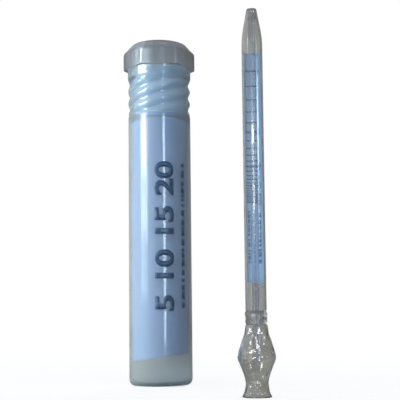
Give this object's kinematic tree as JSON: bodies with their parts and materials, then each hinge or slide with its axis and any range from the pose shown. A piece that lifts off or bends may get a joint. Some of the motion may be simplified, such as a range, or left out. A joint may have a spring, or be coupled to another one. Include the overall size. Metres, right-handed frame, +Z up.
{
  "type": "vinometer with storage tube",
  "caption": "Glass capillary vinometer standing on its flared funnel beside its clear plastic storage tube with a hexagonal screw cap and rolled leaflet.",
  "frame": {"origin": "centre of the storage tube's flat base", "axes": "+Z up along the storage tube and the vinometer; the vinometer stands towards +X and -Y, and its scale faces -Y"},
  "size_m": [0.055, 0.0825, 0.1356],
  "materials": {
    "tube_plastic": "clear moulded plastic, slightly milky, glossy",
    "cap_plastic": "clear moulded plastic, slightly milky, glossy",
    "liner_foam": "soft closed-cell foam",
    "leaflet_paper": "uncoated paper",
    "glass": "clear blown glass",
    "capillary_glass": "clear drawn glass",
    "scale_paper": "pale blue printed paper"
  },
  "bodies": {
    "case": {"case_tube": "tube_plastic", "leaflet_roll": "leaflet_paper"},
    "liner": {"cap_liner": "liner_foam"},
    "cap": {"screw_cap": "cap_plastic"},
    "vinometer": {"glass_funnel": "glass", "fused_collar": "glass", "glass_jacket": "glass", "capillary_tube": "capillary_glass", "tip_seal": "glass", "scale_strip": "scale_paper"}
  },
  "joints": [
    {"name": "cap_lift", "type": "slide", "parent": "case", "child": "liner", "axis": [0, 0, 1], "range_m": [0, 0.03]},
    {"name": "cap_turn", "type": "hinge", "parent": "liner", "child": "cap", "pos_m": [0, 0, 0.13], "axis": [0, 0, 1], "range_deg": [0, 540]},
    {"name": "vinometer_lift", "type": "slide", "parent": "case", "child": "vinometer", "axis": [0, 0, 1], "range_m": [0, 0.15]}
  ],
  "couplings": [
    {"joint": "cap_lift", "follows": "cap_turn", "m_per_rad": 0.0031831}
  ]
}
